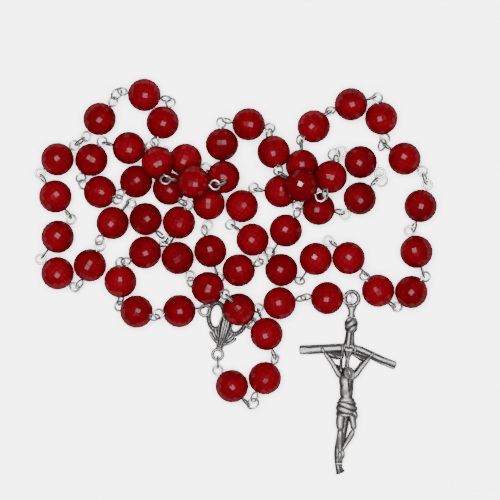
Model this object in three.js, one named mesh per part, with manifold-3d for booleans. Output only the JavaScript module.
// A rosary: five decades of faceted beads on eye pins, a centrepiece, a pendant strand and a crucifix.
// Millimetres, +Z up. It lies in a loose heap on a table at z = 0, the crucifix towards -Y.
import * as THREE from 'three';
import { mergeVertices, mergeGeometries } from 'three/addons/utils/BufferGeometryUtils.js';
import Module from 'manifold-3d';

const wasm = await Module();
wasm.setup();

// Driving dimensions.
const BEAD_R = 4;
const WIRE_R = 0.25;
const EYE_R = 1.15; // middle of the wire in a pin's eye
const EYE_REACH = 5.34; // bead centre to eye centre
const RING_R = 1.4; // middle of the wire in a jump ring
const EAR_R = 1.25; // middle of the rings cast on the centrepiece
const EAR_WIRE = 0.3;
const BAIL_R = 1.6; // middle of the crucifix's ring
const BAIL_WIRE = 0.36;
const BORE_R = 0.6; // hole through a pendant bead
const SHANK_R = 0.25; // pin where it runs through the bead
const CASTING_Z = 1.5; // mid height of the flat castings' rings
const CENTRE_T = 2.6; // thickness of the centrepiece
const CROSS_T = 2.4; // thickness of the crucifix's arms
const CLEAR = 0.08; // gap kept between two beads

// How far apart the centres of two linked eyes can lie, and of an eye and a jump ring.
const EYE_LINK = [0.95, 1.47];
const RING_LINK = [1.1, 1.65];
const BAIL_LINK = [1.3, 1.62];
const STRETCHED = [1.8, 1.95];
// The same where the two are one piece here: pulled tight, wire on wire.
const EYE_WELD = [1.65, 1.7];
const RING_WELD = [1.9, 1.95];
const WELD_R = 0.5; // the blob that makes them one
const EYES_IN_RING = 2.3; // least distance between two eyes that share a jump ring
// Least distance from a bead to the eye or the ring that its own eye is linked with.
const SQUARE_EYE = EYE_REACH + 1.28;
const SQUARE_RING = EYE_REACH + 1.4;

// Each link of the loop in order from the centrepiece's right ear: x, y, heading of its pin in degrees,
// and the level it lies on. The paters carry a jump ring at each end.
const LOOP = [
  [0.0, -6.2, 145, 1], [-8.2, -2.1, 155], [-15.3, 4.0, 125], [-22.8, 14.4, 135], [-30.5, 12.5, -125],
  [-35.4, 4.0, -115], [-43.6, 1.1, 145], [-43.6, 10.5, 65], [-44.6, 19.8, 120], [-44.4, 28.0, 50],
  [-33.7, 37.2, 40],
  [-22.3, 43.8, -10], [-19.4, 36.5, -125], [-21.1, 28.7, -50], [-10.7, 22.9, -15, 1], [-2.7, 23.6, 55],
  [-4.1, 31.1, 100], [2.7, 36.7, -10], [8.0, 29.7, -75], [15.0, 21.9, -35, 1], [21.8, 23.9, 60],
  [29.1, 28.5, -60],
  [28.4, 19.0, -165], [19.4, 16.8, -145], [11.2, 11.0, -140], [2.7, 9.1, 145], [1.2, 16.8, 60],
  [8.5, 20.7, 10], [15.0, 27.3, 65], [18.4, 35.8, 60], [26.4, 41.1, 20], [34.2, 38.2, -60],
  [39.5, 29.5, -50],
  [44.1, 16.8, -100], [42.9, 6.2, -80], [41.2, -3.3, -130], [33.2, -2.3, 135], [25.9, 3.8, 130],
  [18.9, 4.2, -140], [10.9, 2.8, 160], [0.0, 1.8, -160], [-7.3, 6.7, 105], [-7.5, 16.8, 90],
  [-12.4, 28.5, 145],
  [-27.1, 31.1, 180], [-36.1, 28.2, -120], [-33.2, 21.5, -20], [-24.5, 22.9, 30], [-17.5, 21.2, -45],
  [-14.8, 13.5, -125], [-23.5, 6.9, -150], [-28.4, -0.4, -95], [-25.0, -7.9, -15], [-13.8, -8.1, 5],
];
const PATERS = [10, 21, 32, 43];
// Neighbours that lie held down under other strands are made as one piece: the first of each pair.
const PAIRS = [2, 23, 27, 38, 40, 45, 47, 49];

// The pendant strand, from the centrepiece's foot to the crucifix.
const PENDANT = [[-1.2, -28.2, -60], [6.3, -23.6, 80], [6.1, -13.5, 90], [9.7, -5.9, 30], [21.3, -5.0, -5]];

// Where the two castings lie: the middle of the ring that each hangs by, and how far it is turned.
const CENTRE_FOOT = [-5.2, -18.8];
const CENTRE_TILT = THREE.MathUtils.degToRad(-15);
const CENTRE_EAR = [5.8, 9.5]; // from the foot ring, across and up
const CROSS_RING = [27.5, -5.1];
const CROSS_TILT = THREE.MathUtils.degToRad(-3.7);

const UP = new THREE.Vector3(0, 0, 1);
const vec = (x, y, z = 0) => new THREE.Vector3(x, y, z);

// ---- settling the heap -------------------------------------------------------------------------

// A link is a rod with an eye at each end and its bead in the middle.
function makeLink([x, y, heading, level = 0]) {
  const z = BEAD_R + level * 2 * BEAD_R;
  const u = vec(Math.cos(THREE.MathUtils.degToRad(heading)), Math.sin(THREE.MathUtils.degToRad(heading)));
  const centre = vec(x, y, z);
  const link = { home: vec(x, y) };
  link.inEye = { link, at: centre.clone().addScaledVector(u, -EYE_REACH) };
  link.outEye = { link, at: centre.clone().addScaledVector(u, EYE_REACH) };
  return link;
}

// A ring that is cast onto the centrepiece or the crucifix: it lies flat and stays where it is.
function castRing(origin, turn, radius, [x, y] = [0, 0]) {
  const at = vec(x, y).applyAxisAngle(UP, turn).add(vec(origin[0], origin[1], CASTING_Z));
  return { at, radius, fixed: true };
}

// Joins two eyes, straight or through a jump ring. Welded names the side that is made in one piece.
function joinEyes(a, b, { ringed = false, welded = '', name } = {}) {
  if (!ringed) return { a, b, reach: welded ? EYE_WELD : EYE_LINK, welded };
  const ring = { at: a.at.clone().add(b.at).multiplyScalar(0.5), name };
  const reachA = welded === 'a' ? RING_WELD : RING_LINK;
  const reachB = welded === 'b' ? RING_WELD : RING_LINK;
  return { a, b, ring, reachA, reachB, welded };
}

function layOut() {
  const loop = LOOP.map((row) => makeLink(row));
  const pendant = PENDANT.map((row) => makeLink(row));
  const ears = {
    left: castRing(CENTRE_FOOT, CENTRE_TILT, EAR_R, [-CENTRE_EAR[0], CENTRE_EAR[1]]),
    right: castRing(CENTRE_FOOT, CENTRE_TILT, EAR_R, CENTRE_EAR),
    foot: castRing(CENTRE_FOOT, CENTRE_TILT, EAR_R),
    cross: castRing(CROSS_RING, CROSS_TILT, BAIL_R),
  };
  const last = loop.length - 1;
  const joins = [joinEyes(ears.right, loop[0].inEye)];
  for (let i = 0; i < last; i++) {
    const ringed = PATERS.includes(i) || PATERS.includes(i + 1);
    const weldedRing = PATERS.includes(i) ? 'a' : 'b';
    const welded = ringed ? weldedRing : PAIRS.includes(i) && 'both';
    joins.push(joinEyes(loop[i].outEye, loop[i + 1].inEye, { ringed, welded }));
  }
  joins.push(joinEyes(loop[last].outEye, ears.left));
  const hooks = [ears.foot, ...pendant.flatMap((link) => [link.inEye, link.outEye]), ears.cross];
  const ringAt = { 0: 'pendant_ring_1', 1: 'pendant_ring_2' };
  for (let i = 0; i <= pendant.length; i++) {
    const name = ringAt[i];
    joins.push(joinEyes(hooks[2 * i], hooks[2 * i + 1], { ringed: Boolean(name), name }));
  }
  joins.at(-1).reach = BAIL_LINK;
  const top = joins.find((join) => join.ring?.name === 'pendant_ring_1');
  top.reachA = STRETCHED;
  top.reachB = STRETCHED;
  return { loop, pendant, ears, joins };
}

// Moves two points apart or together so that their distance lies between low and high.
function hold(a, b, low, high, stiffness = 1) {
  const gap = b.at.clone().sub(a.at);
  const length = gap.length() || 1e-6;
  const goal = THREE.MathUtils.clamp(length, low, high);
  if (goal === length) return;
  const shares = a.fixed ? [0, 1] : b.fixed ? [1, 0] : [0.5, 0.5];
  gap.multiplyScalar((stiffness * (length - goal)) / length);
  a.at.addScaledVector(gap, shares[0]);
  b.at.addScaledVector(gap, -shares[1]);
}

const middle = (link) => link.inEye.at.clone().add(link.outEye.at).multiplyScalar(0.5);

function moveLink(link, shift) {
  link.inEye.at.add(shift);
  link.outEye.at.add(shift);
}

// Pushes two links apart where their beads are closer than they can be.
function partBeads(one, two) {
  const gap = middle(two).sub(middle(one));
  const short = 2 * BEAD_R + CLEAR - gap.length();
  if (short <= 0) return;
  gap.setLength(short / 2);
  moveLink(two, gap);
  moveLink(one, gap.negate());
}

// Pushes an eye away from a link until it is as far from its bead as it has to be.
function partEye(eye, link, least = BEAD_R + EYE_R + WIRE_R + CLEAR) {
  const gap = eye.at.clone().sub(middle(link));
  const short = least - gap.length();
  if (short <= 0) return;
  gap.setLength(short / 2);
  if (!eye.fixed) eye.at.add(gap);
  moveLink(link, gap.negate());
}

// Draws one of two linked eyes into line with the other's pin, so that their wires cross squarely.
function straighten({ a, b, ring }) {
  if (ring) {
    if (a.link) partEye(ring, a.link, SQUARE_RING);
    if (b.link) partEye(ring, b.link, SQUARE_RING);
    return;
  }
  const spanA = a.link ? b.at.distanceTo(middle(a.link)) : 0;
  const spanB = b.link ? a.at.distanceTo(middle(b.link)) : 0;
  if (spanA > spanB) partEye(b, a.link, SQUARE_EYE);
  else partEye(a, b.link, SQUARE_EYE);
}

// Lets the whole heap drop and settle, each bead staying near the place it was laid in.
function settle(heap) {
  const links = [...heap.loop, ...heap.pendant];
  const eyes = links.flatMap((link) => [link.inEye, link.outEye]);
  const rings = heap.joins.filter((join) => join.ring).map((join) => join.ring);
  const mates = new Map();
  for (const { a, b } of heap.joins) {
    mates.set(a, b);
    mates.set(b, a);
  }
  const ROUNDS = 900;
  const CALM = 300; // the last rounds only clear what still overlaps
  for (let round = 0; round < ROUNDS; round++) {
    const calm = round > ROUNDS - CALM;
    for (const link of links) {
      const home = link.home.clone().sub(middle(link)).setZ(0);
      if (!calm) moveLink(link, home.multiplyScalar(0.06).setZ(-0.03));
      const low = (link.floor ?? 0) + BEAD_R - middle(link).z;
      if (low > 0) moveLink(link, vec(0, 0, low));
    }
    for (const point of [...eyes, ...rings]) {
      point.at.z = Math.max(point.at.z, EYE_R + WIRE_R + 0.02);
    }
    for (let i = 0; i < links.length; i++) {
      for (let j = i + 1; j < links.length; j++) partBeads(links[i], links[j]);
      for (const eye of eyes) {
        if (eye !== links[i].inEye && eye !== links[i].outEye) partEye(eye, links[i]);
      }
    }
    for (let i = 0; i < eyes.length; i++) {
      for (let j = i + 1; j < eyes.length; j++) {
        const bound = mates.get(eyes[i]) === eyes[j];
        if (!bound) hold(eyes[i], eyes[j], 2 * (EYE_R + WIRE_R) + CLEAR, Infinity);
      }
    }
    for (const { a, b, ring, reach, reachA, reachB } of heap.joins) {
      if (ring) {
        hold(a, ring, ...reachA);
        hold(ring, b, ...reachB);
        hold(a, b, EYES_IN_RING, Infinity);
      } else {
        hold(a, b, ...reach);
      }
    }
    heap.joins.forEach(straighten);
    for (const link of links) hold(link.inEye, link.outEye, 2 * EYE_REACH, 2 * EYE_REACH);
  }
  for (const link of links) {
    link.centre = middle(link);
    link.axis = link.outEye.at.clone().sub(link.inEye.at).normalize();
    link.inEye.along = link.axis.clone();
    link.outEye.along = link.axis.clone().negate();
  }
}

const heap = layOut();
heap.loop[0].floor = CENTRE_T;
settle(heap);

// ---- which way each eye faces ------------------------------------------------------------------

const FACINGS = 18; // the turns of an eye about its pin that are tried
const LOOP_POINTS = 28;

// Points round the middle of a loop's wire.
function loopPoints(at, normal, along, radius) {
  const across = along.clone().projectOnPlane(normal).normalize();
  const side = normal.clone().cross(across);
  return Array.from({ length: LOOP_POINTS }, (_, i) => {
    const angle = (2 * Math.PI * i) / LOOP_POINTS;
    return at.clone().addScaledVector(across, radius * Math.cos(angle))
      .addScaledVector(side, radius * Math.sin(angle));
  });
}

// How much room two loops leave between the middles of their wires, or nothing if they aren't linked.
function room(one, two) {
  let crossings = 0;
  let nearest = Infinity;
  const height = two.points.map((point) => point.clone().sub(one.at).dot(one.normal));
  for (let i = 0; i < LOOP_POINTS; i++) {
    const next = (i + 1) % LOOP_POINTS;
    for (const point of one.points) nearest = Math.min(nearest, point.distanceTo(two.points[i]));
    if (height[i] > 0 === height[next] > 0) continue;
    const share = height[i] / (height[i] - height[next]);
    const hit = two.points[i].clone().lerp(two.points[next], share);
    if (hit.distanceTo(one.at) < one.radius) crossings++;
  }
  return crossings === 1 ? nearest : 0;
}

function faced(at, normal, along, radius) {
  return { at, normal, along, radius, points: loopPoints(at, normal, along, radius) };
}

// The ways an eye can face: its loop always holds the line of its pin.
function facings(eye) {
  if (eye.fixed) return [faced(eye.at, UP.clone(), vec(1, 0), eye.radius)];
  const flat = UP.clone().projectOnPlane(eye.along).normalize();
  return Array.from({ length: FACINGS }, (_, i) => {
    const normal = flat.clone().applyAxisAngle(eye.along, (Math.PI * i) / FACINGS);
    return faced(eye.at, normal, eye.along, EYE_R);
  });
}

// The ways a jump ring between two eyes can face: it lies along the line from eye to eye.
function ringFacings(ring, a, b) {
  const along = b.at.clone().sub(a.at).normalize();
  const flat = UP.clone().projectOnPlane(along).normalize();
  return Array.from({ length: FACINGS }, (_, i) => {
    const normal = flat.clone().applyAxisAngle(along, (Math.PI * i) / FACINGS);
    return faced(ring.at, normal, along, RING_R);
  });
}

function bestFacing(choices, score) {
  let best = { score: -1 };
  for (const choice of choices) {
    const value = score(choice);
    if (value > best.score) best = { choice, score: value };
  }
  return best;
}

// Turns two linked eyes, or a ring and its two eyes, to where their wires have the most room.
function faceEyes({ a, b, ring }) {
  const [waysA, waysB] = [facings(a), facings(b)];
  let bestA;
  let bestB;
  if (ring) {
    const bestRing = bestFacing(ringFacings(ring, a, b), (way) => {
      const roomA = bestFacing(waysA, (eye) => room(way, eye)).score;
      return Math.min(roomA, bestFacing(waysB, (eye) => room(way, eye)).score);
    });
    ring.normal = bestRing.choice.normal;
    ring.along = bestRing.choice.along;
    bestA = bestFacing(waysA, (eye) => room(bestRing.choice, eye));
    bestB = bestFacing(waysB, (eye) => room(bestRing.choice, eye));
  } else {
    bestA = bestFacing(waysA, (eye) => bestFacing(waysB, (other) => room(eye, other)).score);
    bestB = bestFacing(waysB, (eye) => room(bestA.choice, eye));
  }
  if (!a.fixed) a.normal = bestA.choice.normal;
  if (!b.fixed) b.normal = bestB.choice.normal;
}

heap.joins.forEach(faceEyes);

// ---- solids ------------------------------------------------------------------------------------

function toSolid(geometry) {
  const bare = geometry.index ? geometry.toNonIndexed() : geometry.clone();
  bare.deleteAttribute('normal');
  bare.deleteAttribute('uv');
  const merged = mergeVertices(bare, 1e-4);
  return new wasm.Manifold(new wasm.Mesh({
    numProp: 3,
    vertProperties: new Float32Array(merged.attributes.position.array),
    triVerts: new Uint32Array(merged.index.array),
  }));
}

function toGeometry(solid) {
  const { vertProperties, triVerts } = solid.getMesh();
  const geometry = new THREE.BufferGeometry();
  geometry.setAttribute('position', new THREE.BufferAttribute(vertProperties, 3));
  geometry.setIndex(new THREE.BufferAttribute(triVerts, 1));
  const flat = geometry.toNonIndexed();
  flat.computeVertexNormals();
  return flat;
}

const joinSolids = (solids) => solids.reduce((sum, solid) => sum.add(solid));

const ruby = new THREE.MeshStandardMaterial({ color: 0x8c0810, roughness: 0.12, metalness: 0 });
const silver = new THREE.MeshStandardMaterial({ color: 0xb4b2ae, roughness: 0.35, metalness: 1 });

function makePiece(name, solids, material) {
  const mesh = new THREE.Mesh(toGeometry(joinSolids(solids).simplify(0.01)), material);
  mesh.name = name;
  return mesh;
}

// Turns a geometry built on +Z towards a direction, and puts it in its place.
function aim(geometry, direction, at) {
  const turn = new THREE.Quaternion().setFromUnitVectors(UP, direction);
  return geometry.applyQuaternion(turn).translate(at.x, at.y, at.z);
}

// A loop of wire round the normal, with one of its corners towards the direction along.
function wireLoop(at, normal, along, radius, wire = WIRE_R) {
  const SIDES = 4;
  const STEPS = 8;
  const across = along.clone().projectOnPlane(normal).normalize();
  const side = normal.clone().cross(across);
  const place = new THREE.Matrix4().makeBasis(across, side, normal).setPosition(at);
  return toSolid(new THREE.TorusGeometry(radius, wire, SIDES, STEPS).applyMatrix4(place));
}

// The half profile of a faceted bead: its radius at each height along the pin.
const FACETS = [[0.16, 0.99], [0.78, 0.62], [1, 0], [0.78, -0.62], [0.16, -0.99]];
const BEAD_SIDES = 8;

function beadSolid(link, bore) {
  const row = ([radius, height]) => new THREE.Vector2(radius * BEAD_R, height * BEAD_R);
  const outside = FACETS.map(row);
  const top = outside[0].y;
  const inner = bore || 0;
  const profile = [new THREE.Vector2(inner, -top), ...outside.toReversed(), new THREE.Vector2(inner, top)];
  if (bore) profile.push(profile[0].clone());
  const lathe = new THREE.LatheGeometry(profile, BEAD_SIDES);
  lathe.rotateX(Math.PI / 2); // the lathe turns about Y, and the pin runs along Z
  return toSolid(aim(lathe, link.axis, link.centre));
}

const eyeSolid = (eye) => wireLoop(eye.at, eye.normal, eye.along, EYE_R);
const ringSolid = (ring) => wireLoop(ring.at, ring.normal, ring.along, RING_R);

function shankSolid(link) {
  const SIDES = 6;
  const length = 2 * (EYE_REACH - EYE_R);
  const rod = new THREE.CylinderGeometry(SHANK_R, SHANK_R, length, SIDES).rotateX(Math.PI / 2);
  return toSolid(aim(rod, link.axis, link.centre));
}

// ---- the loop ----------------------------------------------------------------------------------

const two = (number) => String(number).padStart(2, '0');

// Says what the link at a place in the loop is called: decade2_bead_04, pater_2.
function linkName(index) {
  const before = PATERS.filter((pater) => pater < index).length;
  if (PATERS.includes(index)) return `pater_${before + 1}`;
  const start = before ? PATERS[before - 1] + 1 : 0;
  return `decade${before + 1}_bead_${two(index - start + 1)}`;
}

// Where two loops pulled tight against each other touch.
function weldSolid(one, radiusOne, two, radiusTwo) {
  const pull = two.at.clone().sub(one.at).normalize();
  const touch = one.at.clone().add(two.at).multiplyScalar(0.5);
  touch.addScaledVector(pull, (radiusOne - radiusTwo) / 2);
  return toSolid(new THREE.OctahedronGeometry(WELD_R).translate(touch.x, touch.y, touch.z));
}

function linkSolids(index) {
  const link = heap.loop[index];
  const solids = [beadSolid(link), eyeSolid(link.inEye), eyeSolid(link.outEye)];
  for (const { a, b, ring, welded } of heap.joins) {
    if (ring && [link.inEye, link.outEye].includes(welded === 'a' ? a : b)) {
      const own = welded === 'a' ? a : b;
      if (welded) solids.push(ringSolid(ring), weldSolid(own, EYE_R, ring, RING_R));
    }
    if (welded === 'both' && a === link.outEye) solids.push(weldSolid(a, EYE_R, b, EYE_R));
  }
  return solids;
}

function makeLoop() {
  const pieces = [];
  for (let i = 0; i < heap.loop.length; i++) {
    if (PAIRS.includes(i - 1)) continue;
    const paired = PAIRS.includes(i);
    const name = paired ? `${linkName(i)}_${linkName(i + 1).slice(-2)}` : linkName(i);
    const solids = paired ? [...linkSolids(i), ...linkSolids(i + 1)] : linkSolids(i);
    pieces.push(makePiece(name, solids, ruby));
  }
  return pieces;
}

// ---- the pendant strand ------------------------------------------------------------------------

function makePendant() {
  const pieces = [];
  heap.pendant.forEach((link, i) => {
    const wires = [eyeSolid(link.inEye), shankSolid(link), eyeSolid(link.outEye)];
    pieces.push(makePiece(`pendant_pin_${i + 1}`, wires, silver));
    pieces.push(makePiece(`pendant_bead_${i + 1}`, [beadSolid(link, BORE_R)], ruby));
  });
  for (const { ring } of heap.joins) {
    if (ring?.name) pieces.push(makePiece(ring.name, [ringSolid(ring)], silver));
  }
  return pieces;
}

// ---- the castings ------------------------------------------------------------------------------

// A flat piece between two heights, from an outline with holes.
function slab(shape, low, high, curveSegments = 3) {
  const options = { depth: high - low, bevelEnabled: false, curveSegments };
  return toSolid(new THREE.ExtrudeGeometry(shape, options).translate(0, 0, low));
}

// An egg with its longest measure along Y, or a ball where all three half sizes are alike.
function egg(x, y, z, halfX, halfY, halfZ, turn = 0) {
  const ball = new THREE.SphereGeometry(1, 8, 6).scale(halfX, halfY, halfZ).rotateZ(turn);
  return toSolid(ball.translate(x, y, z));
}

// A round limb from one point to another, thinner at its far end.
function limb(from, to, startR, endR, sides = 6) {
  const run = to.clone().sub(from);
  const rod = new THREE.CylinderGeometry(endR, startR, run.length(), sides).rotateX(Math.PI / 2);
  return toSolid(aim(rod, run.clone().normalize(), from.clone().addScaledVector(run, 0.5)));
}

function placeCasting(solid, [x, y], turn) {
  return solid.rotate([0, 0, THREE.MathUtils.radToDeg(turn)]).translate([x, y, 0]);
}

// The centrepiece: two pearl-edged hoops that lean together on a foot, with a robed figure between.
function makeCentrepiece() {
  const outline = new THREE.Shape();
  outline.moveTo(0.7, 1.2);
  outline.quadraticCurveTo(2.6, 3.0, 4.4, 6.4);
  outline.quadraticCurveTo(5.6, 9.2, 3.9, 11.4);
  outline.quadraticCurveTo(2.4, 12.9, 0, 12.6);
  outline.quadraticCurveTo(-2.4, 12.9, -3.9, 11.4);
  outline.quadraticCurveTo(-5.6, 9.2, -4.4, 6.4);
  outline.quadraticCurveTo(-2.6, 3.0, -0.7, 1.2);
  for (const side of [-1, 1]) {
    const hoop = new THREE.Path().absellipse(side * 2.7, 8.6, 1.25, 2.5, 0, 2 * Math.PI, false, side * -0.12);
    outline.holes.push(hoop);
  }
  const PLATE = [0.7, 2.0];
  const ears = [[-CENTRE_EAR[0], CENTRE_EAR[1]], CENTRE_EAR, [0, 0]].map(([x, y]) => (
    wireLoop(vec(x, y, CASTING_Z), UP, vec(1, 0), EAR_R, EAR_WIRE)));
  const figure = [
    egg(0, 8.0, 1.6, 1.0, 3.6, 0.95),
    egg(0, 11.7, 1.7, 0.75, 0.9, 0.85),
  ];
  const whole = joinSolids([slab(outline, ...PLATE), ...ears, ...figure]);
  return makePiece('centrepiece', [placeCasting(whole, CENTRE_FOOT, CENTRE_TILT)], silver);
}

// The crucifix, hung by its ring: a tapered post, a bent crossbar that sags at both ends, and a corpus
// with raised arms and bowed head. Places are from the middle of the ring, down the post.
function makeCrucifix() {
  const post = new THREE.Shape();
  const edge = [[0.9, 4.2], [1.0, 5.0], [1.9, 5.6], [1.9, 7.6], [1.2, 8.2], [1.35, 11], [1.25, 24],
    [0.8, 34], [0.45, 42.2], [0.2, 42.6]];
  post.setFromPoints([...edge.map(([x, y]) => new THREE.Vector2(x, -y)),
    ...edge.toReversed().map(([x, y]) => new THREE.Vector2(-x, -y))]);
  const leftArm = new THREE.Shape([[1.2, -11.1], [-11.8, -12.6], [-11.9, -14.2], [1.2, -12.9]]
    .map(([x, y]) => new THREE.Vector2(x, y)));
  const rightArm = new THREE.Shape([[-1.2, -11.2], [4.5, -11.9], [11.7, -14.7], [11.4, -16.5], [4.0, -13.7],
    [-1.2, -12.9]].map(([x, y]) => new THREE.Vector2(x, y)).reverse());
  const bars = [slab(post, 0, CROSS_T), slab(leftArm, 0.2, 2.2), slab(rightArm, 0.2, 2.2)];
  const ring = wireLoop(vec(0, 0, CASTING_Z), UP, vec(0, -1), BAIL_R, BAIL_WIRE);
  const neck = limb(vec(0, -1.5, CASTING_Z), vec(0, -4.8, CASTING_Z), 0.65, 0.9);
  const FRONT = CROSS_T + 0.5; // height of the corpus's middle
  const corpus = [
    egg(-0.1, -17.4, FRONT + 0.3, 0.95, 1.15, 1.0, 0.3),
    egg(0.1, -21.5, FRONT, 1.55, 4.2, 1.0),
    egg(0.4, -27.0, FRONT, 2.2, 1.9, 1.1),
    limb(vec(-1.3, -18.9, FRONT), vec(-6.0, -13.2, 2.4), 0.7, 0.4),
    limb(vec(1.3, -18.7, FRONT), vec(5.8, -13.4, 2.4), 0.7, 0.4),
    limb(vec(-0.7, -27.5, FRONT), vec(0.3, -33.0, FRONT + 0.4), 1.0, 0.75),
    limb(vec(1.1, -27.5, FRONT), vec(1.8, -32.0, FRONT + 0.6), 1.0, 0.8),
    limb(vec(1.8, -31.6, FRONT + 0.6), vec(-0.1, -39.2, FRONT), 0.8, 0.5),
    limb(vec(0.3, -32.6, FRONT + 0.4), vec(-0.4, -40.0, FRONT), 0.75, 0.5),
  ];
  const whole = joinSolids([...bars, ring, neck, ...corpus]);
  return makePiece('crucifix', [placeCasting(whole, CROSS_RING, CROSS_TILT)], silver);
}

export const rosary = new THREE.Group();
rosary.add(makeCentrepiece(), ...makeLoop(), ...makePendant(), makeCrucifix());

// The frame: the middle of the whole heap over the origin, the table at z = 0.
const bounds = new THREE.Box3().setFromObject(rosary);
const middleOfHeap = bounds.getCenter(new THREE.Vector3());
rosary.position.set(-middleOfHeap.x, -middleOfHeap.y, -bounds.min.z);

export default rosary;
